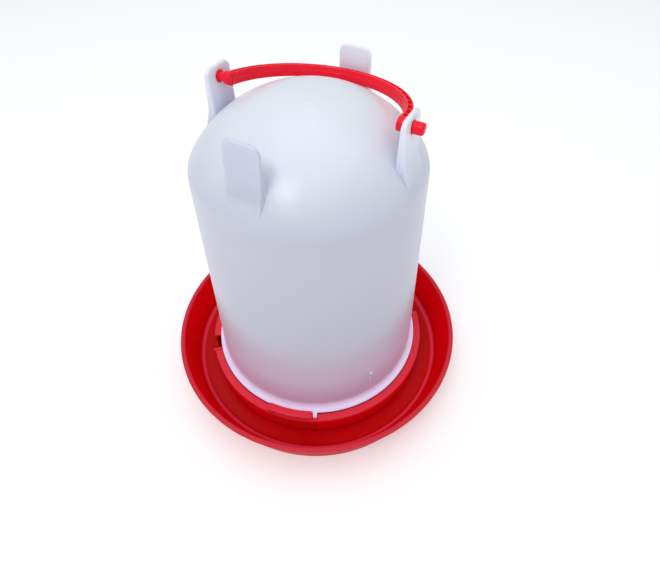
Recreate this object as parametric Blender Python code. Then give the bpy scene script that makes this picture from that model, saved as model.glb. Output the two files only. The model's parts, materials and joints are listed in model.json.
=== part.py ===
"""Poultry drinker: a translucent water fount with four feet on its domed top, a red drinking
base that takes the fount's open mouth in a bayonet collar, and a red carry handle.

Frame: metres, +Z up, origin at the centre of the base's foot, X along the handle's pivot.
"""
import math

import bmesh
import bpy
from mathutils import Matrix, Vector

MM = 0.001
TURN_STEPS = 64                     # facets round every turned shape

# Drinking base
RIM_RADIUS = 136.0 * MM
RIM_HEIGHT = 45.0 * MM
BASE_WALL = 2.4 * MM
FOOT_RADIUS = 124.0 * MM
TROUGH_FLOOR = 12.0 * MM            # top face of the trough's floor
TROUGH_RADIUS = 121.6 * MM          # where the sloping wall reaches the floor's fillet
TROUGH_FILLET = 5.0 * MM
RIM_LIP = 1.6 * MM                  # how far the rolled rim stands out from the wall
RIM_ROLL = 1.4 * MM
CENTRE_RISE = 4.0 * MM              # the floor under the fount is a little higher
CENTRE_RADIUS = 72.0 * MM

# Bayonet collar on the base
COLLAR_RADIUS = 105.0 * MM
COLLAR_TOP = 35.2 * MM
COLLAR_LIP_RADIUS = 98.4 * MM
LEDGE_TOP = 33.0 * MM               # the collar's height below each bridge
BRIDGE_UNDERSIDE = 38.6 * MM
BRIDGE_TOP = 41.4 * MM
BRIDGE_START, BRIDGE_END = 94.5, 116.6      # degrees round Z, repeated half a turn on
RISER_START, RISER_END = 94.7, 96.7         # the bridge's closed end, where a lug stops
LEDGE_START = 96.5
SLOT_END = 119.8
WATER_GAP_START, WATER_GAP_END = 36.5, 46.0
END_RIB_THICKNESS = 1.8 * MM
END_RIB_REACH = 1.6 * MM            # the rib stands this far out of the collar
END_RIB_RISE = 1.4 * MM             # and this far above it
COLLAR_EDGE = 0.6 * MM
PROUD = 0.2 * MM                    # step between surfaces that would otherwise be flush
SEAT_INNER = 88.0 * MM
SEAT_TOP = 29.6 * MM
SEAT_THICKNESS = 2.0 * MM
SEAT_COUNT = 8
SEAT_FIRST_ANGLE = 20.0

# Fount
FOUNT_WALL = 1.8 * MM
MOUTH_BOTTOM = 30.0 * MM
FLANGE_RADIUS = 97.7 * MM
FLANGE_TOP = 38.0 * MM
FLANGE_THICKNESS = 2.6 * MM
FLANGE_EDGE = 0.6 * MM
FLANGE_FILLET = 4.0 * MM
NECK_RADIUS = 94.9 * MM             # the mouth's rim below the flange
NECK_DRAFT = 0.4 * MM
WALL_FOOT_RADIUS = 93.3 * MM
WALL_FOOT_HEIGHT = 44.0 * MM
SHOULDER_RADIUS = 82.0 * MM
SHOULDER_HEIGHT = 230.0 * MM
SHOULDER_ROUND = 13.0 * MM
FOUNT_TOP = 277.5 * MM
LUG_ANGLES = (118.1, 298.1)
LUG_ROOT = 95.7 * MM
LUG_REACH = 102.6 * MM
LUG_HALF_WIDTH = 2.3 * MM
LUG_BOTTOM = 35.0 * MM
LUG_TOP = 37.7 * MM
LUG_TAPER = 0.7                     # the tip's width as a share of the root's

# Feet that hold the fount upside down for filling; two of them carry the handle
LEG_INNER = 66.0 * MM
LEG_OUTER = 68.9 * MM
LEG_FLARE_OUTER = 71.4 * MM
LEG_FLARE_HEIGHT = 255.0 * MM       # below this the outer face spreads into the shoulder
LEG_ROOT_OUTER = 75.2 * MM
LEG_ROOT_TOP = 247.0 * MM
LEG_ROOT_HEIGHT = 238.0 * MM
LEG_TOP = 280.5 * MM
LEG_HALF_WIDTH = 12.0 * MM
LEG_CORNER = 5.5 * MM

# Carry handle
PIVOT_HEIGHT = 273.0 * MM
HANDLE_INNER = 57.8 * MM
HANDLE_OUTER = 62.8 * MM
HANDLE_REACH = 1.03                 # the bow's reach as a share of its half span
HANDLE_WIDTH = 7.7 * MM
HANDLE_PLATE = 1.6 * MM             # the smooth plate that the hand holds
HANDLE_FLANGE = 1.0 * MM            # the thin strip round the outside of the ribs
HANDLE_WEB = 1.8 * MM
HANDLE_STEPS = 36
RIB_PITCH = 7.5                     # degrees
RIB_THICKNESS = 1.2 * MM
RIB_INSET = 0.3 * MM
HANDLE_LEAN = 99.8                  # degrees back from upright, lying on the dome
HANDLE_SHIFT = 2.2 * MM             # end play: the handle sits against one foot
BOSS_RADIUS = 4.2 * MM
PEG_RADIUS = 2.8 * MM
PEG_HOLE_RADIUS = 4.1 * MM
PEG_HEAD_START = 67.2 * MM          # from the handle's middle
PEG_HEAD_RADIUS = 3.65 * MM
PEG_TIP_START = 73.0 * MM
PEG_TIP_RADIUS = 2.5 * MM
PEG_END = 74.4 * MM
PEG_FACETS = 20

MERGE = 0.000001
OVERLAP = 0.5 * MM                  # how far joined shapes run into each other
CLEAR_CUT = 3.0 * MM                # how far a cutter runs past what it cuts


def clear_scene():
    for obj in list(bpy.data.objects):
        bpy.data.objects.remove(obj, do_unlink=True)


def plastic(name, colour, roughness):
    material = bpy.data.materials.new(name)
    material.use_nodes = True
    shader = material.node_tree.nodes["Principled BSDF"]
    shader.inputs["Base Color"].default_value = (*colour, 1.0)
    shader.inputs["Roughness"].default_value = roughness
    shader.inputs["Metallic"].default_value = 0.0
    material.diffuse_color = (*colour, 1.0)
    return material


def arc(centre, radius, start, end, segments):
    """Points of a circular arc in the (radius, height) plane, angles in degrees."""
    points = []
    for i in range(segments + 1):
        angle = math.radians(start + (end - start) * i / segments)
        points.append((centre[0] + radius * math.cos(angle), centre[1] + radius * math.sin(angle)))
    return points


def turned(profile, closed, steps=TURN_STEPS):
    """Bmesh of a (radius, height) outline turned once round Z."""
    bm = bmesh.new()
    verts = [bm.verts.new((r, 0.0, z)) for r, z in profile]
    edges = [bm.edges.new(pair) for pair in zip(verts, verts[1:])]
    if closed:
        edges.append(bm.edges.new((verts[-1], verts[0])))
    bmesh.ops.spin(bm, geom=verts + edges, cent=(0, 0, 0), axis=(0, 0, 1), dvec=(0, 0, 0),
                   angle=2 * math.pi, steps=steps, use_merge=True)
    bmesh.ops.remove_doubles(bm, verts=bm.verts, dist=MERGE)
    bmesh.ops.recalc_face_normals(bm, faces=bm.faces)
    return bm


def sector(profile, start, end, steps):
    """Bmesh of a closed (radius, height) outline swept round Z between two angles in degrees."""
    bm = bmesh.new()
    face = bm.faces.new([bm.verts.new((r, 0.0, z)) for r, z in profile])
    turn = Matrix.Rotation(math.radians(start), 4, "Z")
    bmesh.ops.transform(bm, matrix=turn, verts=bm.verts)
    geometry = list(face.verts) + list(face.edges) + [face]
    bmesh.ops.spin(bm, geom=geometry, cent=(0, 0, 0), axis=(0, 0, 1), dvec=(0, 0, 0),
                   angle=math.radians(end - start), steps=steps, use_merge=False)
    bmesh.ops.recalc_face_normals(bm, faces=bm.faces)
    return bm


def rectangle(r0, r1, z0, z1):
    return [(r0, z0), (r1, z0), (r1, z1), (r0, z1)]


def plate(outline, thickness, place):
    """Bmesh of an outline in the local XY plane, thickened about it and moved to its place."""
    bm = bmesh.new()
    face = bm.faces.new([bm.verts.new((x, y, -thickness / 2)) for x, y in outline])
    grown = bmesh.ops.extrude_face_region(bm, geom=[face])
    top = [item for item in grown["geom"] if isinstance(item, bmesh.types.BMVert)]
    bmesh.ops.translate(bm, vec=(0, 0, thickness), verts=top)
    bmesh.ops.recalc_face_normals(bm, faces=bm.faces)
    bmesh.ops.transform(bm, matrix=place, verts=bm.verts)
    return bm


def to_object(bm, name, material=None):
    mesh = bpy.data.meshes.new(name)
    bm.to_mesh(mesh)
    bm.free()
    obj = bpy.data.objects.new(name, mesh)
    bpy.context.scene.collection.objects.link(obj)
    if material:
        mesh.materials.append(material)
    return obj


def combine(target, tool_bm, operation):
    """Join a tool shape to a body, or cut it out, and keep the result in the body's mesh."""
    tool = to_object(tool_bm, "tool")
    modifier = target.modifiers.new("join", "BOOLEAN")
    modifier.operation = operation
    modifier.solver = "EXACT"
    modifier.object = tool
    depsgraph = bpy.context.evaluated_depsgraph_get()
    result = bpy.data.meshes.new_from_object(target.evaluated_get(depsgraph))
    target.modifiers.clear()
    old = target.data
    target.data = result
    result.name = target.name
    bpy.data.meshes.remove(old)
    bpy.data.objects.remove(tool, do_unlink=True)


def finish(obj, material, smooth_angle=35.0):
    bm = bmesh.new()
    bm.from_mesh(obj.data)
    bmesh.ops.remove_doubles(bm, verts=bm.verts, dist=MERGE)
    bmesh.ops.dissolve_degenerate(bm, edges=bm.edges, dist=MERGE)
    bmesh.ops.triangulate(bm, faces=bm.faces)
    bm.to_mesh(obj.data)
    bm.free()
    obj.data.materials.clear()
    obj.data.materials.append(material)
    obj.data.shade_smooth()
    obj.data.set_sharp_from_angle(angle=math.radians(smooth_angle))


def dish_profile():
    """The base's section: foot ring, sloping trough wall, rolled rim, floor and raised centre."""
    under = TROUGH_FLOOR - BASE_WALL
    rim_inner = RIM_RADIUS - RIM_LIP - BASE_WALL
    outside = [
        (0.0, under + CENTRE_RISE),
        (CENTRE_RADIUS, under + CENTRE_RISE),
        (CENTRE_RADIUS + 2 * CENTRE_RISE, under),
        (FOOT_RADIUS - 1.2 * BASE_WALL, under),
        (FOOT_RADIUS - 1.2 * BASE_WALL, 0.0),
        (FOOT_RADIUS, 0.0),
        (FOOT_RADIUS + OVERLAP, TROUGH_FLOOR),
        (RIM_RADIUS - RIM_LIP, RIM_HEIGHT - 2 * RIM_ROLL - 0.4 * MM),
        (RIM_RADIUS, RIM_HEIGHT - 2 * RIM_ROLL),
    ]
    rim = arc((RIM_RADIUS - RIM_ROLL, RIM_HEIGHT - RIM_ROLL), RIM_ROLL, 0, 90, 3)
    inside = [
        (rim_inner + 0.8 * MM, RIM_HEIGHT),
        (rim_inner, RIM_HEIGHT - 1.0 * MM),
        (TROUGH_RADIUS, TROUGH_FLOOR + 0.75 * TROUGH_FILLET),
        (TROUGH_RADIUS - 0.3 * TROUGH_FILLET, TROUGH_FLOOR + 0.25 * TROUGH_FILLET),
        (TROUGH_RADIUS - 0.9 * TROUGH_FILLET, TROUGH_FLOOR),
        (CENTRE_RADIUS + 2 * CENTRE_RISE, TROUGH_FLOOR),
        (CENTRE_RADIUS, TROUGH_FLOOR + CENTRE_RISE),
        (0.0, TROUGH_FLOOR + CENTRE_RISE),
    ]
    return outside + rim + inside


def collar_profile():
    """Wall of the collar with the lip that turns in over the lugs' path."""
    inner = COLLAR_RADIUS - BASE_WALL
    return [
        (inner, TROUGH_FLOOR - BASE_WALL / 2),
        (COLLAR_RADIUS, TROUGH_FLOOR - BASE_WALL / 2),
        (COLLAR_RADIUS, COLLAR_TOP - COLLAR_EDGE),
        (COLLAR_RADIUS - COLLAR_EDGE, COLLAR_TOP),
        (COLLAR_LIP_RADIUS + COLLAR_EDGE, COLLAR_TOP),
        (COLLAR_LIP_RADIUS, COLLAR_TOP - COLLAR_EDGE),
        (COLLAR_LIP_RADIUS, COLLAR_TOP - BASE_WALL),
        (inner, COLLAR_TOP - BASE_WALL),
    ]


def radial_plate(angle, r0, r1, z0, z1, thickness):
    """Upright plate that runs outwards from the axis at an angle in degrees."""
    upright = Matrix.Rotation(math.radians(90), 4, "X")
    turn = Matrix.Rotation(math.radians(angle), 4, "Z")
    return plate(rectangle(r0, r1, z0, z1), thickness, turn @ upright)


def make_base(material):
    base = to_object(turned(collar_profile(), closed=True), "drinking_base")
    cut_inner = COLLAR_LIP_RADIUS - CLEAR_CUT
    cut_outer = COLLAR_RADIUS + CLEAR_CUT
    high = BRIDGE_TOP + CLEAR_CUT
    for half_turn in (0.0, 180.0):
        gap = sector(rectangle(cut_inner, cut_outer, 0.0, high),
                     WATER_GAP_START + half_turn, WATER_GAP_END + half_turn, 4)
        combine(base, gap, "DIFFERENCE")
        ledge = sector(rectangle(cut_inner, cut_outer, LEDGE_TOP, high),
                       LEDGE_START + half_turn, SLOT_END + half_turn, 8)
        combine(base, ledge, "DIFFERENCE")
    combine(base, turned(dish_profile(), closed=False), "UNION")
    for half_turn in (0.0, 180.0):
        bridge_section = rectangle(COLLAR_LIP_RADIUS + PROUD, COLLAR_RADIUS + PROUD,
                                   BRIDGE_UNDERSIDE, BRIDGE_TOP)
        bridge = sector(bridge_section, BRIDGE_START + half_turn, BRIDGE_END + half_turn, 8)
        combine(base, bridge, "UNION")
        riser_section = rectangle(COLLAR_LIP_RADIUS + 2 * PROUD, COLLAR_RADIUS - PROUD,
                                  COLLAR_TOP - OVERLAP, BRIDGE_UNDERSIDE + OVERLAP)
        riser = sector(riser_section, RISER_START + half_turn, RISER_END + half_turn, 2)
        combine(base, riser, "UNION")
        rib = radial_plate(WATER_GAP_END + half_turn, COLLAR_LIP_RADIUS + PROUD,
                           COLLAR_RADIUS + END_RIB_REACH, TROUGH_FLOOR - OVERLAP,
                           COLLAR_TOP + END_RIB_RISE, END_RIB_THICKNESS)
        combine(base, rib, "UNION")
    for i in range(SEAT_COUNT):
        seat = radial_plate(SEAT_FIRST_ANGLE + 360.0 * i / SEAT_COUNT, SEAT_INNER,
                            COLLAR_RADIUS - BASE_WALL / 2, TROUGH_FLOOR - OVERLAP, SEAT_TOP,
                            SEAT_THICKNESS)
        combine(base, seat, "UNION")
    finish(base, material)
    return base


def dome_geometry(inset):
    """Shoulder and crown arcs, tangent to the wall and to each other, inset by a thickness."""
    lean = math.atan2(WALL_FOOT_RADIUS - SHOULDER_RADIUS, SHOULDER_HEIGHT - WALL_FOOT_HEIGHT)
    centre = (SHOULDER_RADIUS - SHOULDER_ROUND * math.cos(lean),
              SHOULDER_HEIGHT - SHOULDER_ROUND * math.sin(lean))
    rise = FOUNT_TOP - centre[1]
    crown = (centre[0] ** 2 + rise ** 2 - SHOULDER_ROUND ** 2) / (2 * (rise - SHOULDER_ROUND))
    crown_centre = FOUNT_TOP - crown
    joint = math.degrees(math.atan2(centre[1] - crown_centre, centre[0]))
    shoulder = arc(centre, SHOULDER_ROUND - inset, math.degrees(lean), joint, 4)
    top = arc((0.0, crown_centre), crown - inset, joint, 90, 7)
    return shoulder + top[1:-1] + [(0.0, FOUNT_TOP - inset)]


def fount_outline(inset):
    """Half section of the fount's outside, or of its inside when inset by the wall."""
    if inset:
        lower = [
            (0.0, MOUTH_BOTTOM - CLEAR_CUT),
            (WALL_FOOT_RADIUS - inset, MOUTH_BOTTOM - CLEAR_CUT),
            (WALL_FOOT_RADIUS - inset, WALL_FOOT_HEIGHT),
        ]
    else:
        flange_under = FLANGE_TOP - FLANGE_THICKNESS
        fillet_centre = (WALL_FOOT_RADIUS + FLANGE_FILLET - 0.1 * MM,
                         FLANGE_TOP + FLANGE_FILLET + FLANGE_EDGE)
        lower = [
            (0.0, MOUTH_BOTTOM),
            (NECK_RADIUS, MOUTH_BOTTOM),
            (NECK_RADIUS + NECK_DRAFT, flange_under),
            (FLANGE_RADIUS - FLANGE_EDGE, flange_under),
            (FLANGE_RADIUS, flange_under + FLANGE_EDGE),
            (FLANGE_RADIUS, FLANGE_TOP - 0.8 * MM),
            (FLANGE_RADIUS - 0.8 * MM, FLANGE_TOP),
        ] + arc(fillet_centre, FLANGE_FILLET, 262, 186, 3)
    return lower + dome_geometry(inset)


def leg_outline():
    """Section of a foot in the (radius, height) plane."""
    return [
        (LEG_INNER, LEG_ROOT_HEIGHT),
        (LEG_ROOT_OUTER, LEG_ROOT_HEIGHT),
        (LEG_ROOT_OUTER, LEG_ROOT_TOP),
        (LEG_FLARE_OUTER, LEG_FLARE_HEIGHT),
        (LEG_OUTER, LEG_TOP),
        (LEG_INNER, LEG_TOP),
    ]


def leg(angle):
    """One foot: a flat upright plate with its two top corners rounded."""
    upright = Matrix.Rotation(math.radians(90), 4, "X")
    bm = plate(leg_outline(), 2 * LEG_HALF_WIDTH, upright)
    corners = []
    for edge in bm.edges:
        heights = [v.co.z for v in edge.verts]
        level = abs(edge.verts[0].co.y - edge.verts[1].co.y) < MERGE
        if level and min(heights) > LEG_TOP - MERGE:
            corners.append(edge)
    bmesh.ops.bevel(bm, geom=corners, offset=LEG_CORNER, offset_type="OFFSET", segments=4,
                    profile=0.5, affect="EDGES", material=-1)
    bmesh.ops.transform(bm, matrix=Matrix.Rotation(math.radians(angle), 4, "Z"), verts=bm.verts)
    return bm


def lug(angle):
    """Bayonet lug: a small wedge that narrows outwards from the flange."""
    tip = LUG_TAPER * LUG_HALF_WIDTH
    outline = [(LUG_ROOT, -LUG_HALF_WIDTH), (LUG_REACH, -tip), (LUG_REACH, tip),
               (LUG_ROOT, LUG_HALF_WIDTH)]
    place = Matrix.Rotation(math.radians(angle), 4, "Z")
    place = place @ Matrix.Translation((0, 0, (LUG_BOTTOM + LUG_TOP) / 2))
    return plate(outline, LUG_TOP - LUG_BOTTOM, place)


def turned_along_x(profile, side):
    """Bmesh of (distance, radius) points turned round the X axis, out to one side."""
    bm = turned([(radius, side * distance) for distance, radius in profile], closed=False,
                steps=PEG_FACETS)
    bmesh.ops.transform(bm, matrix=Matrix.Rotation(math.radians(90), 4, "Y"), verts=bm.verts)
    return bm


def make_fount(material):
    fount = to_object(turned(fount_outline(0.0), closed=False), "fount")
    for quarter in range(4):
        combine(fount, leg(90.0 * quarter), "UNION")
    for angle in LUG_ANGLES:
        combine(fount, lug(angle), "UNION")
    combine(fount, turned(fount_outline(FOUNT_WALL), closed=False), "DIFFERENCE")
    inner, outer = LEG_INNER - CLEAR_CUT, LEG_ROOT_OUTER
    for side in (-1, 1):
        hole = turned_along_x([(inner, 0.0), (inner, PEG_HOLE_RADIUS),
                               (outer, PEG_HOLE_RADIUS), (outer, 0.0)], side)
        bmesh.ops.translate(hole, vec=(0, 0, PIVOT_HEIGHT), verts=hole.verts)
        combine(fount, hole, "DIFFERENCE")
    finish(fount, material)
    return fount


def bow_section():
    """I section of the handle in (reach, width): the hand's plate, the web and a thin strip."""
    half = HANDLE_WIDTH / 2
    web = HANDLE_WEB / 2
    plate_back = HANDLE_INNER + HANDLE_PLATE
    strip = HANDLE_OUTER - HANDLE_FLANGE
    return [
        (HANDLE_INNER, -half), (plate_back, -half), (plate_back, -web), (strip, -web),
        (strip, -half), (HANDLE_OUTER, -half), (HANDLE_OUTER, half), (strip, half),
        (strip, web), (plate_back, web), (plate_back, half), (HANDLE_INNER, half),
    ]


def peg_profile():
    """Boss, shaft and slightly thicker head of a peg, as (distance, radius) points."""
    return [
        (HANDLE_INNER + RIB_INSET, 0.0),
        (HANDLE_INNER + RIB_INSET, BOSS_RADIUS),
        (HANDLE_OUTER + RIB_INSET, BOSS_RADIUS),
        (HANDLE_OUTER + RIB_INSET, PEG_RADIUS),
        (PEG_HEAD_START, PEG_RADIUS),
        (PEG_HEAD_START, PEG_HEAD_RADIUS),
        (PEG_TIP_START, PEG_HEAD_RADIUS),
        (PEG_END, PEG_TIP_RADIUS),
        (PEG_END, 0.0),
    ]


def make_handle(material):
    """The bow is made lying in the XY plane, bulging to +Y, and then leant to its rest."""
    handle = to_object(sector(bow_section(), 0.0, 180.0, HANDLE_STEPS), "carry_handle")
    half_rib = HANDLE_WIDTH / 2 - RIB_INSET
    for i in range(1, int(180.0 / RIB_PITCH)):
        rib = radial_plate(RIB_PITCH * i, HANDLE_INNER + HANDLE_PLATE / 2,
                           HANDLE_OUTER - HANDLE_FLANGE / 2, -half_rib, half_rib,
                           RIB_THICKNESS)
        combine(handle, rib, "UNION")
    handle.data.transform(Matrix.Diagonal((1.0, HANDLE_REACH, 1.0, 1.0)))
    for side in (-1, 1):
        combine(handle, turned_along_x(peg_profile(), side), "UNION")
    finish(handle, material)
    lean = Matrix.Rotation(math.radians(90.0 - HANDLE_LEAN), 4, "X")
    handle.data.transform(lean)
    handle.location = Vector((HANDLE_SHIFT, 0.0, PIVOT_HEIGHT))
    return handle


def main():
    clear_scene()
    red = plastic("red_plastic", (0.62, 0.008, 0.012), 0.32)
    handle_red = plastic("handle_red_plastic", (0.72, 0.010, 0.025), 0.30)
    milky = plastic("milky_plastic", (0.80, 0.83, 0.90), 0.38)
    make_base(red)
    make_fount(milky)
    make_handle(handle_red)


main()
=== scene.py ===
import json
import math

import bmesh
import bpy
from mathutils import Euler, Matrix, Vector


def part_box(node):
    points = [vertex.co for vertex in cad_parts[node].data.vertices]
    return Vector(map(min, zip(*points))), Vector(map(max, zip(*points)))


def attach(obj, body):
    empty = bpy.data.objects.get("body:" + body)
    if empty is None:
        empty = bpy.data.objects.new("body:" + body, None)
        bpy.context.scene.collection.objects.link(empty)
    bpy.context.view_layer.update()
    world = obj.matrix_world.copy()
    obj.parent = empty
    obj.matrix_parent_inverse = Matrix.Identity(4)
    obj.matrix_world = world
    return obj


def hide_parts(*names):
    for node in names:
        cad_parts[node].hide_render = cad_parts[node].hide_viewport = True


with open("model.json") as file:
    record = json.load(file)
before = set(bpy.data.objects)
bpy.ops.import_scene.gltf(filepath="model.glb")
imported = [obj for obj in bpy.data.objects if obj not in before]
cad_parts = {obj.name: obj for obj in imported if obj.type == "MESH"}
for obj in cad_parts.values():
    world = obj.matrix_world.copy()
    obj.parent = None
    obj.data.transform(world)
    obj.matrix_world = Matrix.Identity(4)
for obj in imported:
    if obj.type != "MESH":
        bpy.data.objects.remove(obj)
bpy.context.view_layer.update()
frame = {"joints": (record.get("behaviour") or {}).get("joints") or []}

MM = 0.001
MERGE = 0.000001
OVERLAP = 0.5 * MM                  # how far joined shapes run into each other
CLEAR_CUT = 3.0 * MM                # how far a cutter runs past what it cuts
SMOOTH_ANGLE = 32.0

tray_low, tray_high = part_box("drinking_base")
fount_low, fount_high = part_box("fount")
bow_low, bow_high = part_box("carry_handle")
joints = {joint["name"]: joint for joint in frame["joints"]}

# Drinking tray
TRAY_STEPS = 192
RIM_RADIUS = tray_high.x
RIM_HEIGHT = tray_high.z
TRAY_WALL = 2.4 * MM
FOOT_RADIUS = 124.0 * MM
TROUGH_FLOOR = 12.0 * MM
TROUGH_RADIUS = 121.6 * MM
RIM_LIP = 1.6 * MM
RIM_ROLL = 1.4 * MM
CENTRE_RISE = 4.0 * MM
CENTRE_RADIUS = 72.0 * MM

# Bayonet collar
COLLAR_RADIUS = 105.0 * MM
COLLAR_TOP = 35.2 * MM
COLLAR_LIP_RADIUS = 98.4 * MM
LEDGE_TOP = 33.0 * MM
BRIDGE_UNDERSIDE = 38.6 * MM
BRIDGE_TOP = 41.4 * MM
BRIDGE_START, BRIDGE_END = 94.5, 116.6
RISER_START, RISER_END = 94.7, 96.7
LEDGE_START, SLOT_END = 96.5, 119.8
WATER_GAP_START, WATER_GAP_END = 36.5, 46.0
END_RIB_THICKNESS = 1.8 * MM
PROUD = 0.2 * MM
SEAT_INNER = 88.0 * MM
SEAT_TOP = 29.6 * MM
SEAT_THICKNESS = 2.0 * MM
SEAT_COUNT = 8
SEAT_FIRST_ANGLE = 20.0

# Fount
FOUNT_STEPS = 192
WALL_ROWS = 24
FOUNT_WALL = 1.8 * MM
MOUTH_BOTTOM = fount_low.z
NECK_RADIUS = 94.9 * MM
FLANGE_RADIUS = 98.0 * MM
FLANGE_TOP = 38.0 * MM
FLANGE_THICKNESS = 2.6 * MM
WALL_FOOT_RADIUS = 93.3 * MM
WALL_FOOT_HEIGHT = 44.0 * MM
SHOULDER_RADIUS = 82.0 * MM
SHOULDER_HEIGHT = 230.0 * MM
SHOULDER_ROUND = 13.0 * MM
LEG_TOP = fount_high.z
FOUNT_TOP = LEG_TOP - 3.0 * MM
CROWN_RADIUS = 98.1 * MM            # about the crown arc that dome_outline works out
LUG_ANGLES = (118.1, 298.1)
LUG_ROOT = 95.7 * MM
LUG_REACH = 102.6 * MM
LUG_HALF_WIDTH = 2.3 * MM
LUG_BOTTOM = 35.0 * MM
LUG_TOP = 37.7 * MM

# Small moulded features of the fount
PIP_ANGLE = 330.0
PIP_HEIGHT = 72.5 * MM
PIP_RADIUS = 2.3 * MM
PIP_SQUASH = 0.8
RIB_FOOT = 53.0 * MM
RIB_HALF_WIDTH = 0.9 * MM
RIB_SINK = 0.2 * MM                 # how deep the rib is set into the wall
MARK_PLACE = (0.0095, -0.0115)
MARK_RADIUS = 5.6 * MM
MARK_RISE = 0.45 * MM
MARK_FLATNESS = 0.16

# Feet on the fount's dome
LEG_INNER = 66.0 * MM
LEG_OUTER = 68.9 * MM
LEG_FLARE_OUTER = 71.4 * MM
LEG_FLARE_HEIGHT = 255.0 * MM
LEG_SKIRT_OUTER = 73.6 * MM
LEG_SKIRT_HEIGHT = 248.6 * MM
LEG_ROOT_OUTER = 78.4 * MM          # the skirt ends just inside the shoulder
LEG_ROOT_HEIGHT = 236.0 * MM
LEG_HALF_WIDTH = 12.0 * MM
LEG_CORNER = 5.5 * MM

# Carry handle, drawn lying in the XY plane and then leant back
PIVOT = Vector(joints["handle_swing"]["pos_m"])
HANDLE_SHIFT = (bow_low.x + bow_high.x) / 2
PEG_END = (bow_high.x - bow_low.x) / 2
HANDLE_INNER = 57.8 * MM
HANDLE_OUTER = 62.8 * MM
HANDLE_REACH = 1.03
HANDLE_WIDTH = 7.7 * MM
HANDLE_PLATE = 1.6 * MM
HANDLE_FLANGE = 1.0 * MM
HANDLE_WEB = 1.8 * MM
HANDLE_BEAD = 0.4 * MM             # parting line that stands out along the hand's plate
HANDLE_STEPS = 96
HANDLE_LEAN = 99.8
RIB_PITCH = 7.5
RIB_THICKNESS = 1.2 * MM
RIB_INSET = 0.3 * MM
BOSS_RADIUS = 4.2 * MM
PEG_RADIUS = 2.8 * MM
PEG_HOLE_RADIUS = 4.1 * MM
PEG_HEAD_START = 67.2 * MM
PEG_HEAD_RADIUS = 3.65 * MM
PEG_STEPS = 48

# Camera and studio
CAMERA_PLACE = (0.1359, -0.2201, 0.4031)
CAMERA_HEADING = math.radians(28.738)
CAMERA_DIP = math.radians(50.409)
CAMERA_ROLL = math.radians(-0.532)
LENS = 23.633
WORLD_STRENGTH = 0.54
FLOOR_GLOW = 0.22
FLOOR_HALF = 4.0


# ---------------------------------------------------------------- mesh tools

def arc(centre, radius, start, end, segments):
    """Points of a circular arc in the (radius, height) plane, angles in degrees."""
    points = []
    for i in range(segments + 1):
        angle = math.radians(start + (end - start) * i / segments)
        points.append((centre[0] + radius * math.cos(angle), centre[1] + radius * math.sin(angle)))
    return points


def filleted(corners, closed=True, segments=5):
    """An outline of (x, y, round) corners, each corner turned into an arc of that radius."""
    points = []
    count = len(corners)
    for i, (x, y, radius) in enumerate(corners):
        end_point = not closed and i in (0, count - 1)
        if radius <= 0.0 or end_point:
            points.append((x, y))
            continue
        here = Vector((x, y))
        back = Vector(corners[i - 1][:2]) - here
        ahead = Vector(corners[(i + 1) % count][:2]) - here
        half = back.angle(ahead) / 2
        set_back = min(radius / math.tan(half), 0.48 * back.length, 0.48 * ahead.length)
        radius = set_back * math.tan(half)
        middle = (back.normalized() + ahead.normalized()).normalized()
        centre = here + middle * (radius / math.sin(half))
        first = here + back.normalized() * set_back - centre
        last = here + ahead.normalized() * set_back - centre
        sweep = first.angle_signed(last)
        for k in range(segments + 1):
            turned_arm = first.copy()
            turned_arm.rotate(Matrix.Rotation(-sweep * k / segments, 2))
            points.append(tuple(centre + turned_arm))
    return points


def turned(profile, closed, steps):
    """Bmesh of a (radius, height) outline turned once round Z."""
    bm = bmesh.new()
    verts = [bm.verts.new((r, 0.0, z)) for r, z in profile]
    edges = [bm.edges.new(pair) for pair in zip(verts, verts[1:])]
    if closed:
        edges.append(bm.edges.new((verts[-1], verts[0])))
    bmesh.ops.spin(bm, geom=verts + edges, cent=(0, 0, 0), axis=(0, 0, 1), dvec=(0, 0, 0),
                   angle=2 * math.pi, steps=steps, use_merge=True)
    bmesh.ops.remove_doubles(bm, verts=bm.verts, dist=MERGE)
    bmesh.ops.recalc_face_normals(bm, faces=bm.faces)
    return bm


def sector(profile, start, end, steps):
    """Bmesh of a closed (radius, height) outline swept round Z between two angles in degrees."""
    bm = bmesh.new()
    face = bm.faces.new([bm.verts.new((r, 0.0, z)) for r, z in profile])
    turn = Matrix.Rotation(math.radians(start), 4, "Z")
    bmesh.ops.transform(bm, matrix=turn, verts=bm.verts)
    geometry = list(face.verts) + list(face.edges) + [face]
    bmesh.ops.spin(bm, geom=geometry, cent=(0, 0, 0), axis=(0, 0, 1), dvec=(0, 0, 0),
                   angle=math.radians(end - start), steps=steps, use_merge=False)
    bmesh.ops.recalc_face_normals(bm, faces=bm.faces)
    return bm


def rectangle(r0, r1, z0, z1, radius=0.0):
    corners = [(r0, z0, radius), (r1, z0, radius), (r1, z1, radius), (r0, z1, radius)]
    return filleted(corners, segments=3)


def plate(outline, thickness, place, edge=0.0):
    """Bmesh of an outline in the local XY plane, thickened about it and moved to its place."""
    bm = bmesh.new()
    face = bm.faces.new([bm.verts.new((x, y, -thickness / 2)) for x, y in outline])
    grown = bmesh.ops.extrude_face_region(bm, geom=[face])
    top = [item for item in grown["geom"] if isinstance(item, bmesh.types.BMVert)]
    bmesh.ops.translate(bm, vec=(0, 0, thickness), verts=top)
    bmesh.ops.recalc_face_normals(bm, faces=bm.faces)
    if edge:
        soften(bm, edge)
    bmesh.ops.transform(bm, matrix=place, verts=bm.verts)
    return bm


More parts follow.
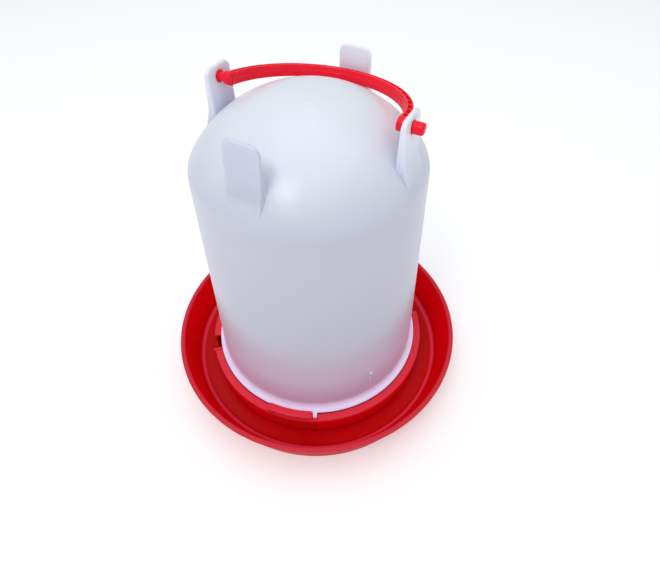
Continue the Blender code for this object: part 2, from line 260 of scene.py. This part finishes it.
def soften(bm, width, segments=2, sharper_than=50.0):
    """Rounds every edge where two faces meet at more than an angle in degrees."""
    sharp = [edge for edge in bm.edges
             if edge.is_manifold and edge.calc_face_angle(0.0) > math.radians(sharper_than)]
    bmesh.ops.bevel(bm, geom=sharp, offset=width, offset_type="OFFSET", segments=segments,
                    profile=0.5, affect="EDGES", material=-1, clamp_overlap=True)


def radial_plate(angle, r0, r1, z0, z1, thickness, edge=0.0):
    """Upright plate that runs outwards from the axis at an angle in degrees."""
    upright = Matrix.Rotation(math.radians(90), 4, "X")
    turn = Matrix.Rotation(math.radians(angle), 4, "Z")
    return plate(rectangle(r0, r1, z0, z1), thickness, turn @ upright, edge)


def gather(shapes):
    """One bmesh holding several separate closed shapes."""
    whole = bmesh.new()
    for bm in shapes:
        mesh = bpy.data.meshes.new("part")
        bm.to_mesh(mesh)
        bm.free()
        whole.from_mesh(mesh)
        bpy.data.meshes.remove(mesh)
    return whole


def to_object(bm, name):
    mesh = bpy.data.meshes.new(name)
    bm.to_mesh(mesh)
    bm.free()
    obj = bpy.data.objects.new(name, mesh)
    bpy.context.scene.collection.objects.link(obj)
    return obj


def combine(target, tool_bm, operation):
    """Join a tool shape to a piece, or cut it out, and keep the result in the piece's mesh."""
    tool = to_object(tool_bm, "tool")
    modifier = target.modifiers.new("join", "BOOLEAN")
    modifier.operation = operation
    modifier.solver = "EXACT"
    modifier.object = tool
    depsgraph = bpy.context.evaluated_depsgraph_get()
    result = bpy.data.meshes.new_from_object(target.evaluated_get(depsgraph))
    target.modifiers.clear()
    old = target.data
    target.data = result
    result.name = target.name
    bpy.data.meshes.remove(old)
    bpy.data.objects.remove(tool, do_unlink=True)


def finish_piece(obj, material, body, node):
    """Closes the mesh, shades it, gives it its material and hands it to its CAD body."""
    bm = bmesh.new()
    bm.from_mesh(obj.data)
    bmesh.ops.remove_doubles(bm, verts=bm.verts, dist=MERGE)
    bmesh.ops.dissolve_degenerate(bm, edges=bm.edges, dist=MERGE)
    bm.to_mesh(obj.data)
    bm.free()
    obj.data.materials.clear()
    obj.data.materials.append(material)
    obj.data.shade_smooth()
    obj.data.set_sharp_from_angle(angle=math.radians(SMOOTH_ANGLE))
    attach(obj, body)
    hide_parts(node)


# ---------------------------------------------------------------- drinking tray

def dish_profile():
    """The tray's section: foot ring, sloping trough wall, rolled rim, floor, raised centre."""
    under = TROUGH_FLOOR - TRAY_WALL
    rim_inner = RIM_RADIUS - RIM_LIP - TRAY_WALL
    ring_inner = FOOT_RADIUS - 1.2 * TRAY_WALL
    corners = [
        (0.0, under + CENTRE_RISE, 0),
        (CENTRE_RADIUS, under + CENTRE_RISE, 6 * MM),
        (CENTRE_RADIUS + 2 * CENTRE_RISE, under, 4 * MM),
        (ring_inner, under, 1.5 * MM),
        (ring_inner, 0.0, 0.8 * MM),
        (FOOT_RADIUS, 0.0, 0.8 * MM),
        (FOOT_RADIUS + OVERLAP, TROUGH_FLOOR, 5 * MM),
        (RIM_RADIUS - RIM_LIP, RIM_HEIGHT - 2 * RIM_ROLL - 0.4 * MM, 0.8 * MM),
        (RIM_RADIUS, RIM_HEIGHT - 2 * RIM_ROLL, 0.6 * MM),
        (RIM_RADIUS, RIM_HEIGHT, RIM_ROLL),
        (rim_inner, RIM_HEIGHT, RIM_ROLL),
        (TROUGH_RADIUS, TROUGH_FLOOR, 6.5 * MM),
        (CENTRE_RADIUS + 2 * CENTRE_RISE, TROUGH_FLOOR, 4 * MM),
        (CENTRE_RADIUS, TROUGH_FLOOR + CENTRE_RISE, 6 * MM),
        (0.0, TROUGH_FLOOR + CENTRE_RISE, 0),
    ]
    return filleted(corners, closed=False, segments=6)


def collar_profile():
    """Wall of the collar with the lip that turns in over the lugs' path."""
    inner = COLLAR_RADIUS - TRAY_WALL
    below = TROUGH_FLOOR - TRAY_WALL / 2
    return filleted([
        (inner, below, 0),
        (COLLAR_RADIUS, below, 0),
        (COLLAR_RADIUS, COLLAR_TOP, 0.8 * MM),
        (COLLAR_LIP_RADIUS, COLLAR_TOP, 0.6 * MM),
        (COLLAR_LIP_RADIUS, COLLAR_TOP - TRAY_WALL, 0.5 * MM),
        (inner, COLLAR_TOP - TRAY_WALL, 0.8 * MM),
    ], segments=4)


def bridge_parts(half_turn):
    """The raised bar over a slot, and the riser at its closed end where a lug stops."""
    section = rectangle(COLLAR_LIP_RADIUS + PROUD, COLLAR_RADIUS + PROUD,
                        BRIDGE_UNDERSIDE, BRIDGE_TOP, 0.6 * MM)
    bar = sector(section, BRIDGE_START + half_turn, BRIDGE_END + half_turn, 24)
    soften(bar, 0.3 * MM)
    riser_section = rectangle(COLLAR_LIP_RADIUS + 2 * PROUD, COLLAR_RADIUS - PROUD,
                              COLLAR_TOP - OVERLAP, BRIDGE_UNDERSIDE + OVERLAP)
    riser = sector(riser_section, RISER_START + half_turn, RISER_END + half_turn, 2)
    return bar, riser


def make_drinking_tray(material):
    tray = to_object(turned(collar_profile(), True, TRAY_STEPS), "drinking_tray")
    cut_inner = COLLAR_LIP_RADIUS - CLEAR_CUT
    cut_outer = COLLAR_RADIUS + CLEAR_CUT
    high = BRIDGE_TOP + CLEAR_CUT
    cutters, bars, risers = [], [], []
    for half_turn in (0.0, 180.0):
        cutters.append(sector(rectangle(cut_inner, cut_outer, 0.0, high),
                              WATER_GAP_START + half_turn, WATER_GAP_END + half_turn, 6))
        cutters.append(sector(rectangle(cut_inner, cut_outer, LEDGE_TOP, high),
                              LEDGE_START + half_turn, SLOT_END + half_turn, 12))
        bar, riser = bridge_parts(half_turn)
        bars.append(bar)
        risers.append(riser)
        bars.append(radial_plate(WATER_GAP_END + half_turn, COLLAR_LIP_RADIUS + PROUD,
                                 COLLAR_RADIUS + 1.6 * MM, TROUGH_FLOOR - OVERLAP,
                                 COLLAR_TOP + 1.4 * MM, END_RIB_THICKNESS, 0.35 * MM))
    for i in range(SEAT_COUNT):
        bars.append(radial_plate(SEAT_FIRST_ANGLE + 360.0 * i / SEAT_COUNT, SEAT_INNER,
                                 COLLAR_RADIUS - TRAY_WALL / 2, TROUGH_FLOOR - OVERLAP,
                                 SEAT_TOP, SEAT_THICKNESS, 0.35 * MM))
    combine(tray, gather(cutters), "DIFFERENCE")
    combine(tray, turned(dish_profile(), False, TRAY_STEPS), "UNION")
    combine(tray, gather(bars), "UNION")
    combine(tray, gather(risers), "UNION")
    finish_piece(tray, material, "base", "drinking_base")
    return tray


# ---------------------------------------------------------------- fount

def dome_outline(inset):
    """Shoulder and crown arcs, tangent to the wall and to each other, inset by a thickness."""
    lean = math.atan2(WALL_FOOT_RADIUS - SHOULDER_RADIUS, SHOULDER_HEIGHT - WALL_FOOT_HEIGHT)
    centre = (SHOULDER_RADIUS - SHOULDER_ROUND * math.cos(lean),
              SHOULDER_HEIGHT - SHOULDER_ROUND * math.sin(lean))
    rise = FOUNT_TOP - centre[1]
    crown = (centre[0] ** 2 + rise ** 2 - SHOULDER_ROUND ** 2) / (2 * (rise - SHOULDER_ROUND))
    crown_centre = FOUNT_TOP - crown
    joint = math.degrees(math.atan2(centre[1] - crown_centre, centre[0]))
    shoulder = arc(centre, SHOULDER_ROUND - inset, math.degrees(lean), joint, 12)
    top = arc((0.0, crown_centre), crown - inset, joint, 90, 36)
    return shoulder + top[1:-1] + [(0.0, FOUNT_TOP - inset)]


def wall_radius(height):
    share = (height - WALL_FOOT_HEIGHT) / (SHOULDER_HEIGHT - WALL_FOOT_HEIGHT)
    return WALL_FOOT_RADIUS + (SHOULDER_RADIUS - WALL_FOOT_RADIUS) * share


def wall_line(inset, first_height):
    """Evenly spaced points up the tapering wall, so that it shades smoothly."""
    points = []
    for i in range(WALL_ROWS):
        height = first_height + (SHOULDER_HEIGHT - first_height) * i / WALL_ROWS
        points.append((wall_radius(height) - inset, height))
    return points


def outside_profile():
    """The fount's outside: mouth rim, flange, the fillet up to the wall, the wall, the dome."""
    flange_under = FLANGE_TOP - FLANGE_THICKNESS
    foot = filleted([
        (0.0, MOUTH_BOTTOM, 0),
        (NECK_RADIUS, MOUTH_BOTTOM, 0.6 * MM),
        (NECK_RADIUS + 0.4 * MM, flange_under, 0.5 * MM),
        (FLANGE_RADIUS, flange_under, 0.6 * MM),
        (FLANGE_RADIUS, FLANGE_TOP, 1.7 * MM),
        (WALL_FOOT_RADIUS + 0.3 * MM, FLANGE_TOP, 3.6 * MM),
        (WALL_FOOT_RADIUS, WALL_FOOT_HEIGHT + 1.0 * MM, 0),
    ], closed=False, segments=6)
    return foot + wall_line(0.0, WALL_FOOT_HEIGHT + 5.0 * MM) + dome_outline(0.0)


def inside_profile():
    inner = WALL_FOOT_RADIUS - FOUNT_WALL
    below = MOUTH_BOTTOM - CLEAR_CUT
    foot = [(0.0, below), (inner, below), (inner, WALL_FOOT_HEIGHT)]
    return foot + wall_line(FOUNT_WALL, WALL_FOOT_HEIGHT + 5.0 * MM) + dome_outline(FOUNT_WALL)


def foot_plate(angle):
    """One foot of the dome: a thin upright plate, rounded at its two top corners, that
    spreads outwards below a crease and runs down into the shoulder."""
    outline = filleted([
        (LEG_INNER, LEG_ROOT_HEIGHT, 0),
        (LEG_ROOT_OUTER, LEG_ROOT_HEIGHT, 0),
        (LEG_SKIRT_OUTER, LEG_SKIRT_HEIGHT, 12.0 * MM),
        (LEG_FLARE_OUTER, LEG_FLARE_HEIGHT, 3.0 * MM),
        (LEG_OUTER, LEG_TOP, 0),
        (LEG_INNER, LEG_TOP, 0),
    ], segments=6)
    upright = Matrix.Rotation(math.radians(90), 4, "X")
    bm = plate(outline, 2 * LEG_HALF_WIDTH, upright)
    corners = []
    for edge in bm.edges:
        heights = [v.co.z for v in edge.verts]
        level = abs(edge.verts[0].co.y - edge.verts[1].co.y) < MERGE
        if level and min(heights) > LEG_TOP - MERGE:
            corners.append(edge)
    bmesh.ops.bevel(bm, geom=corners, offset=LEG_CORNER, offset_type="OFFSET", segments=8,
                    profile=0.5, affect="EDGES", material=-1)
    rims = [edge for edge in bm.edges
            if edge.is_manifold and edge.calc_face_angle(0.0) > math.radians(50)
            and max(v.co.z for v in edge.verts) > LEG_ROOT_HEIGHT + MERGE]
    bmesh.ops.bevel(bm, geom=rims, offset=1.2 * MM, offset_type="OFFSET", segments=4,
                    profile=0.5, affect="EDGES", material=-1, clamp_overlap=True)
    bmesh.ops.transform(bm, matrix=Matrix.Rotation(math.radians(angle), 4, "Z"), verts=bm.verts)
    return bm


def lug(angle):
    """Bayonet lug: a small wedge that narrows outwards from the flange."""
    tip = 0.7 * LUG_HALF_WIDTH
    outline = [(LUG_ROOT, -LUG_HALF_WIDTH), (LUG_REACH, -tip), (LUG_REACH, tip),
               (LUG_ROOT, LUG_HALF_WIDTH)]
    place = Matrix.Rotation(math.radians(angle), 4, "Z")
    place = place @ Matrix.Translation((0, 0, (LUG_BOTTOM + LUG_TOP) / 2))
    return plate(outline, LUG_TOP - LUG_BOTTOM, place, 0.5 * MM)


def pip_and_rib():
    """A small round pip low on the wall, with a faint upright rib below it."""
    turn = Matrix.Rotation(math.radians(PIP_ANGLE), 4, "Z")
    pip = bmesh.new()
    bmesh.ops.create_uvsphere(pip, u_segments=24, v_segments=12, radius=PIP_RADIUS)
    on_wall = Matrix.Translation((wall_radius(PIP_HEIGHT), 0.0, PIP_HEIGHT))
    squash = Matrix.Diagonal((PIP_SQUASH, 1.0, 1.0, 1.0))
    bmesh.ops.transform(pip, verts=pip.verts, matrix=turn @ on_wall @ squash)
    rib = bmesh.new()
    bmesh.ops.create_cone(rib, cap_ends=True, segments=16, radius1=RIB_HALF_WIDTH,
                          radius2=RIB_HALF_WIDTH, depth=PIP_HEIGHT - RIB_FOOT)
    slope = Matrix.Rotation(math.atan2(SHOULDER_RADIUS - WALL_FOOT_RADIUS,
                                       SHOULDER_HEIGHT - WALL_FOOT_HEIGHT), 4, "Y")
    middle = (PIP_HEIGHT + RIB_FOOT) / 2
    place = Matrix.Translation((wall_radius(middle) - RIB_SINK, 0.0, middle))
    bmesh.ops.transform(rib, matrix=turn @ place @ slope, verts=rib.verts)
    return pip, rib


def crown_mark():
    """The low round moulding mark beside the top of the dome: a shallow raised disc."""
    mark = bmesh.new()
    bmesh.ops.create_uvsphere(mark, u_segments=40, v_segments=16, radius=MARK_RADIUS)
    rise = Matrix.Diagonal((1.0, 1.0, MARK_FLATNESS, 1.0))
    reach = Vector(MARK_PLACE).length
    crown = FOUNT_TOP - reach * reach / (2 * CROWN_RADIUS)
    tilt = Vector((MARK_PLACE[0], MARK_PLACE[1], CROWN_RADIUS)).to_track_quat("Z", "Y")
    sink = MARK_RISE - MARK_FLATNESS * MARK_RADIUS
    place = Matrix.Translation((*MARK_PLACE, crown)) @ tilt.to_matrix().to_4x4()
    bmesh.ops.transform(mark, matrix=place @ Matrix.Translation((0, 0, sink)) @ rise,
                        verts=mark.verts)
    return mark


def turned_along_x(profile, side, steps=PEG_STEPS):
    """Bmesh of (distance, radius) points turned round the X axis, out to one side."""
    bm = turned([(radius, side * distance) for distance, radius in profile], False, steps)
    bmesh.ops.transform(bm, matrix=Matrix.Rotation(math.radians(90), 4, "Y"), verts=bm.verts)
    return bm


def make_fount_shell(material):
    fount = to_object(turned(outside_profile(), False, FOUNT_STEPS), "fount_shell")
    additions = [foot_plate(90.0 * quarter) for quarter in range(4)]
    additions += [lug(angle) for angle in LUG_ANGLES]
    pip, rib = pip_and_rib()
    additions += [pip, crown_mark()]
    combine(fount, gather(additions), "UNION")
    combine(fount, rib, "UNION")
    combine(fount, turned(inside_profile(), False, FOUNT_STEPS), "DIFFERENCE")
    inner, outer = LEG_INNER - CLEAR_CUT, LEG_ROOT_OUTER
    for side in (-1, 1):
        hole = turned_along_x([(inner, 0.0), (inner, PEG_HOLE_RADIUS),
                               (outer, PEG_HOLE_RADIUS), (outer, 0.0)], side)
        bmesh.ops.translate(hole, vec=(0, 0, PIVOT.z), verts=hole.verts)
        combine(fount, hole, "DIFFERENCE")
    finish_piece(fount, material, "fount", "fount")
    return fount


# ---------------------------------------------------------------- carry handle

def bow_section():
    """I section of the handle in (reach, width): the hand's plate with its parting line, the
    web, and the thin strip round the outside of the ribs."""
    half = HANDLE_WIDTH / 2
    web = HANDLE_WEB / 2
    back = HANDLE_INNER + HANDLE_PLATE
    strip = HANDLE_OUTER - HANDLE_FLANGE
    bead = 2 * HANDLE_BEAD
    return filleted([
        (HANDLE_INNER, -half, 0.6 * MM), (back, -half, 0.3 * MM), (back, -web, 0.4 * MM),
        (strip, -web, 0.4 * MM), (strip, -half + PROUD, 0.2 * MM),
        (HANDLE_OUTER, -half + PROUD, 0.5 * MM), (HANDLE_OUTER, half - PROUD, 0.5 * MM),
        (strip, half - PROUD, 0.2 * MM), (strip, web, 0.4 * MM), (back, web, 0.4 * MM),
        (back, half, 0.3 * MM), (HANDLE_INNER, half, 0.6 * MM), (HANDLE_INNER, bead, bead),
        (HANDLE_INNER - HANDLE_BEAD, 0.0, HANDLE_BEAD), (HANDLE_INNER, -bead, bead),
    ], segments=3)


def peg_profile():
    """Boss, shaft and slightly thicker rounded head of a peg, as (distance, radius) points."""
    return filleted([
        (HANDLE_INNER + RIB_INSET, 0.0, 0),
        (HANDLE_INNER + RIB_INSET, BOSS_RADIUS, 0.6 * MM),
        (HANDLE_OUTER + RIB_INSET, BOSS_RADIUS, 0.5 * MM),
        (HANDLE_OUTER + RIB_INSET, PEG_RADIUS, 0.3 * MM),
        (PEG_HEAD_START, PEG_RADIUS, 0.2 * MM),
        (PEG_HEAD_START, PEG_HEAD_RADIUS, 0.3 * MM),
        (PEG_END, PEG_HEAD_RADIUS, 1.5 * MM),
        (PEG_END, 0.0, 0),
    ], closed=False, segments=5)


def make_handle_bow(material):
    """The bow is made lying in the XY plane, bulging to +Y, and then leant to its rest."""
    bow = to_object(sector(bow_section(), 0.0, 180.0, HANDLE_STEPS), "handle_bow")
    half_rib = HANDLE_WIDTH / 2 - RIB_INSET
    ribs = []
    for i in range(1, int(180.0 / RIB_PITCH)):
        ribs.append(radial_plate(RIB_PITCH * i, HANDLE_INNER + HANDLE_PLATE / 2,
                                 HANDLE_OUTER - HANDLE_FLANGE / 2, -half_rib, half_rib,
                                 RIB_THICKNESS, 0.25 * MM))
    combine(bow, gather(ribs), "UNION")
    bow.data.transform(Matrix.Diagonal((1.0, HANDLE_REACH, 1.0, 1.0)))
    pegs = [turned_along_x(peg_profile(), side) for side in (-1, 1)]
    combine(bow, gather(pegs), "UNION")
    lean = Matrix.Rotation(math.radians(90.0 - HANDLE_LEAN), 4, "X")
    bow.data.transform(Matrix.Translation(PIVOT + Vector((HANDLE_SHIFT, 0, 0))) @ lean)
    finish_piece(bow, material, "handle", "carry_handle")
    return bow


# ---------------------------------------------------------------- materials

def add_node(tree, kind, **settings):
    node = tree.nodes.new(kind)
    for name, value in settings.items():
        setattr(node, name, value)
    return node


def moulded_skin_group():
    """Fine grain of a moulded plastic skin, with soft flow marks: height, mask and shade."""
    group = bpy.data.node_groups.new("moulded_skin", "ShaderNodeTree")
    for name, default in (("Grain Scale", 900.0), ("Flow Scale", 22.0)):
        socket = group.interface.new_socket(name, in_out="INPUT", socket_type="NodeSocketFloat")
        socket.default_value = default
    for name in ("Height", "Flow"):
        group.interface.new_socket(name, in_out="OUTPUT", socket_type="NodeSocketFloat")
    source = add_node(group, "NodeGroupInput")
    sink = add_node(group, "NodeGroupOutput")
    place = add_node(group, "ShaderNodeTexCoord")
    grain = add_node(group, "ShaderNodeTexNoise")
    grain.inputs["Detail"].default_value = 3.0
    grain.inputs["Roughness"].default_value = 0.6
    flow = add_node(group, "ShaderNodeTexNoise")
    flow.inputs["Detail"].default_value = 2.0
    flow.inputs["Roughness"].default_value = 0.45
    flow.inputs["Distortion"].default_value = 0.6
    link = group.links.new
    link(place.outputs["Object"], grain.inputs["Vector"])
    link(place.outputs["Object"], flow.inputs["Vector"])
    link(source.outputs["Grain Scale"], grain.inputs["Scale"])
    link(source.outputs["Flow Scale"], flow.inputs["Scale"])
    link(grain.outputs["Fac"], sink.inputs["Height"])
    ease = add_node(group, "ShaderNodeMapRange", interpolation_type="SMOOTHERSTEP")
    ease.inputs["From Min"].default_value = 0.2
    ease.inputs["From Max"].default_value = 0.8
    link(flow.outputs["Fac"], ease.inputs["Value"])
    link(ease.outputs["Result"], sink.inputs["Flow"])
    return group


def start_material(name):
    material = bpy.data.materials.new(name)
    material.use_nodes = True
    return material, material.node_tree, material.node_tree.nodes["Principled BSDF"]


def add_skin(tree, shader, skin, grain_scale, flow_scale, grain_depth):
    """Places the moulded skin in a material and sends its grain to the shader's normal."""
    node = add_node(tree, "ShaderNodeGroup", node_tree=skin)
    node.inputs["Grain Scale"].default_value = grain_scale
    node.inputs["Flow Scale"].default_value = flow_scale
    bump = add_node(tree, "ShaderNodeBump")
    bump.inputs["Strength"].default_value = 0.5
    bump.inputs["Distance"].default_value = grain_depth
    tree.links.new(node.outputs["Height"], bump.inputs["Height"])
    tree.links.new(bump.outputs["Normal"], shader.inputs["Normal"])
    return node


def mix_colours(tree, below, above, factor):
    """One colour laid over another by a factor socket. The lower one may be a socket."""
    mix = add_node(tree, "ShaderNodeMix", data_type="RGBA")
    lower, upper = [socket for socket in mix.inputs if socket.type == "RGBA"]
    if isinstance(below, tuple):
        lower.default_value = (*below, 1.0)
    else:
        tree.links.new(below, lower)
    upper.default_value = (*above, 1.0)
    tree.links.new(factor, mix.inputs["Factor"])
    return [socket for socket in mix.outputs if socket.type == "RGBA"][0]


def map_range(tree, value, low, high, to_low, to_high):
    node = add_node(tree, "ShaderNodeMapRange")
    for name, number in (("From Min", low), ("From Max", high), ("To Min", to_low),
                         ("To Max", to_high)):
        node.inputs[name].default_value = number
    tree.links.new(value, node.inputs["Value"])
    return node.outputs["Result"]


def multiply(tree, first, second):
    node = add_node(tree, "ShaderNodeMath", operation="MULTIPLY")
    tree.links.new(first, node.inputs[0])
    tree.links.new(second, node.inputs[1])
    return node.outputs["Value"]


def red_plastic(name, skin, deep, bright, roughness, gloss):
    """Glossy red polypropylene with faint flow marks and a very fine grain."""
    material, tree, shader = start_material(name)
    marks = add_skin(tree, shader, skin, 1100.0, 30.0, 0.00004)
    tree.links.new(mix_colours(tree, deep, bright, marks.outputs["Flow"]),
                   shader.inputs["Base Color"])
    rough = map_range(tree, marks.outputs["Flow"], 0.0, 1.0, roughness - 0.04, roughness + 0.04)
    tree.links.new(rough, shader.inputs["Roughness"])
    shader.inputs["IOR"].default_value = 1.49
    shader.inputs["Specular IOR Level"].default_value = gloss
    return material


def tray_plastic(skin):
    """The tray's red: deep on the floor and outside, with painted light laid over it: the inside
    of the wall painted brighter, a painted highlight band at the rounded foot of the wall, and
    painted pink highlights along the collar and on the rim's lip."""
    material = red_plastic("tray_red", skin, (0.50, 0.0, 0.001), (0.56, 0.0, 0.002), 0.30, 0.10)
    tree = material.node_tree
    shader = tree.nodes["Principled BSDF"]
    colour = shader.inputs["Base Color"].links[0].from_socket
    place = add_node(tree, "ShaderNodeTexCoord")
    split = add_node(tree, "ShaderNodeSeparateXYZ")
    tree.links.new(place.outputs["Object"], split.inputs["Vector"])
    height = split.outputs["Z"]
    flat = add_node(tree, "ShaderNodeVectorMath", operation="MULTIPLY")
    flat.inputs[1].default_value = (1.0, 1.0, 0.0)
    tree.links.new(place.outputs["Object"], flat.inputs[0])
    reach = add_node(tree, "ShaderNodeVectorMath", operation="LENGTH")
    tree.links.new(flat.outputs["Vector"], reach.inputs[0])
    facing = add_node(tree, "ShaderNodeSeparateXYZ")
    tree.links.new(place.outputs["Normal"], facing.inputs["Vector"])
    inside = map_range(tree, facing.outputs["Z"], -0.1, 0.1, 0.0, 1.0)
    # painted light: surfaces facing up inside the tray are painted brighter red from just above
    # the floor upward, standing in for light falling on the wall
    painted_wall_light = multiply(tree, inside, map_range(tree, height, TROUGH_FLOOR + 1.0 * MM,
                                               TROUGH_FLOOR + 9.0 * MM, 0.0, 1.0))
    colour = mix_colours(tree, colour, (0.88, 0.001, 0.005), painted_wall_light)
    # painted highlight: a pink band just above the trough floor, outside the collar, on the
    # rounded foot of the wall, standing in for a reflection along that fillet
    ring = multiply(tree, map_range(tree, height, TROUGH_FLOOR + 0.25 * MM,
                                    TROUGH_FLOOR + 0.9 * MM, 0.0, 1.0),
                    map_range(tree, height, TROUGH_FLOOR + 2.0 * MM,
                              TROUGH_FLOOR + 4.2 * MM, 1.0, 0.0))
    ring = multiply(tree, ring, map_range(tree, reach.outputs["Value"], COLLAR_RADIUS + 6.0 * MM,
                                          COLLAR_RADIUS + 9.0 * MM, 0.0, 1.0))
    colour = mix_colours(tree, colour, (0.96, 0.045, 0.09), ring)
    # painted highlight: pinker red on the top of the collar, standing in for light reflected off
    # it
    collar = multiply(tree, map_range(tree, height, COLLAR_TOP - 3.5 * MM,
                                      COLLAR_TOP - 1.5 * MM, 0.0, 1.0),
                      map_range(tree, reach.outputs["Value"], COLLAR_RADIUS + 2.0 * MM,
                                COLLAR_RADIUS + 4.0 * MM, 1.0, 0.0))
    colour = mix_colours(tree, colour, (0.82, 0.035, 0.06), collar)
    # painted highlight: pinker red along the rim's lip
    lip = map_range(tree, height, RIM_HEIGHT - 1.6 * MM, RIM_HEIGHT - 0.6 * MM, 0.0, 1.0)
    colour = mix_colours(tree, colour, (0.68, 0.03, 0.05), lip)
    tree.links.new(colour, shader.inputs["Base Color"])
    return material


def fill_ramp(node, stops):
    """Sets a colour ramp to a row of (position, colour) stops."""
    elements = node.color_ramp.elements
    while len(elements) < len(stops):
        elements.new(0.5)
    for element, (position, colour) in zip(elements, stops):
        element.position = position
        element.color = (*colour, 1.0)


def milky_plastic(skin):
    """Translucent milky polyethylene, bluish white, with painted light in its colour: lighter
    towards the crown as painted top light, a painted shade that greys the front foot, and pinker
    low down with a faint emitted glow, painted light for light that soaks through the wall and red
    light from the tray."""
    material, tree, shader = start_material("milky_polyethylene")
    add_skin(tree, shader, skin, 500.0, 26.0, 0.000012)
    place = add_node(tree, "ShaderNodeTexCoord")
    split = add_node(tree, "ShaderNodeSeparateXYZ")
    tree.links.new(place.outputs["Object"], split.inputs["Vector"])
    height = map_range(tree, split.outputs["Z"], MOUTH_BOTTOM, FOUNT_TOP, 0.0, 1.0)
    # painted light: up the height the colour goes from a lighter flange, through a pinker low wall
    # (painted red light from the tray coming through the wall), to grey walls and a much lighter
    # crown (painted top light on the bluish white plastic)
    ramp = add_node(tree, "ShaderNodeValToRGB")
    ramp.color_ramp.interpolation = "EASE"
    stops = ((0.0, (0.70, 0.60, 0.74)), (0.045, (0.68, 0.58, 0.72)), (0.07, (0.56, 0.40, 0.50)),
             (0.2, (0.60, 0.49, 0.60)), (0.42, (0.57, 0.57, 0.68)), (0.78, (0.62, 0.62, 0.74)),
             (1.0, (0.83, 0.87, 1.0)))
    fill_ramp(ramp, stops)
    tree.links.new(height, ramp.inputs["Fac"])
    # painted shade: where the foot plates stand out of the dome at the front, the colour is mixed
    # towards a darker grey
    from_crown = add_node(tree, "ShaderNodeVectorMath", operation="DISTANCE")
    tree.links.new(place.outputs["Object"], from_crown.inputs[0])
    from_crown.inputs[1].default_value = (0.0, 0.0, FOUNT_TOP - CROWN_RADIUS)
    stands_out = map_range(tree, from_crown.outputs["Value"], CROWN_RADIUS + 0.3 * MM,
                           CROWN_RADIUS + 3.0 * MM, 0.0, 0.6)
    on_dome = map_range(tree, split.outputs["Z"], LEG_ROOT_HEIGHT, LEG_SKIRT_HEIGHT, 0.0, 1.0)
    at_front = map_range(tree, split.outputs["Y"], -LEG_INNER + 4.0 * MM, -LEG_INNER, 0.0, 1.0)
    painted_foot_shade = multiply(tree, multiply(tree, stands_out, on_dome), at_front)
    colour = mix_colours(tree, ramp.outputs["Color"], (0.52, 0.54, 0.64), painted_foot_shade)
    tree.links.new(colour, shader.inputs["Base Color"])
    # painted light: an emitted pinkish glow low on the fount, strongest at the flange, standing in
    # for light coming through the wall
    glow = add_node(tree, "ShaderNodeValToRGB")
    glow.color_ramp.interpolation = "EASE"
    painted_glow_stops = ((0.0, (0.19, 0.165, 0.25)), (0.04, (0.19, 0.165, 0.25)), (0.075, (0.07, 0.05, 0.10)),
              (0.16, (0.05, 0.04, 0.08)), (0.34, (0.0, 0.0, 0.0)))
    fill_ramp(glow, painted_glow_stops)
    tree.links.new(height, glow.inputs["Fac"])
    tree.links.new(glow.outputs["Color"], shader.inputs["Emission Color"])
    shader.inputs["Emission Strength"].default_value = 1.0
    shader.inputs["Roughness"].default_value = 0.30
    shader.inputs["IOR"].default_value = 1.5
    shader.inputs["Subsurface Weight"].default_value = 0.5
    shader.inputs["Subsurface Radius"].default_value = (1.0, 0.95, 1.0)
    shader.inputs["Subsurface Scale"].default_value = 0.005
    return material


def floor_material():
    material, tree, shader = start_material("studio_floor")
    shader.inputs["Base Color"].default_value = (0.92, 0.92, 0.93, 1.0)
    shader.inputs["Roughness"].default_value = 0.9
    shader.inputs["Specular IOR Level"].default_value = 0.0
    shader.inputs["Emission Color"].default_value = (1.0, 1.0, 1.0, 1.0)
    shader.inputs["Emission Strength"].default_value = FLOOR_GLOW
    return material


# ---------------------------------------------------------------- studio

def make_camera():
    data = bpy.data.cameras.new("camera")
    data.lens = LENS
    data.sensor_width = 36.0
    camera = bpy.data.objects.new("camera", data)
    turn = Euler((math.pi / 2 - CAMERA_DIP, 0.0, CAMERA_HEADING), "XYZ").to_matrix()
    roll = Euler((0.0, 0.0, CAMERA_ROLL), "XYZ").to_matrix()
    camera.matrix_world = (turn @ roll).to_4x4()
    camera.location = Vector(CAMERA_PLACE)
    bpy.context.scene.collection.objects.link(camera)
    bpy.context.scene.camera = camera


def make_floor():
    bm = bmesh.new()
    bmesh.ops.create_grid(bm, x_segments=1, y_segments=1, size=FLOOR_HALF)
    floor = to_object(bm, "studio_floor")
    floor.data.materials.append(floor_material())


def softbox(name, bearing, elevation, distance, width, height, power, colour):
    """Rectangular light aimed at the middle of the object. Bearing 0 is in front, at -Y."""
    data = bpy.data.lights.new(name, "AREA")
    data.shape = "RECTANGLE"
    data.size = width
    data.size_y = height
    data.energy = power
    data.color = colour
    lamp = bpy.data.objects.new(name, data)
    side, up = math.radians(bearing), math.radians(elevation)
    away = Vector((math.sin(side) * math.cos(up), -math.cos(side) * math.cos(up), math.sin(up)))
    middle = Vector((0, 0, 0.15))
    lamp.location = middle + away * distance
    lamp.rotation_euler = away.to_track_quat("Z", "Y").to_euler()
    bpy.context.scene.collection.objects.link(lamp)


def make_studio():
    world = bpy.data.worlds.new("studio")
    bpy.context.scene.world = world
    world.use_nodes = True
    background = world.node_tree.nodes["Background"]
    background.inputs["Color"].default_value = (0.95, 0.975, 1.0, 1.0)
    background.inputs["Strength"].default_value = WORLD_STRENGTH
    softbox("top_softbox", 0.0, 88.0, 2.0, 2.4, 2.4, 20.0, (0.93, 0.97, 1.0))
    softbox("front_softbox", -3.0, 55.0, 1.6, 0.42, 0.30, 4.0, (1.0, 1.0, 1.0))
    bpy.context.scene.view_settings.view_transform = "Standard"


make_camera()
make_floor()
make_studio()
skin = moulded_skin_group()
make_drinking_tray(tray_plastic(skin))
make_fount_shell(milky_plastic(skin))
make_handle_bow(red_plastic("handle_red", skin, (0.90, 0.008, 0.026), (0.96, 0.012, 0.034),
                            0.28, 0.2))
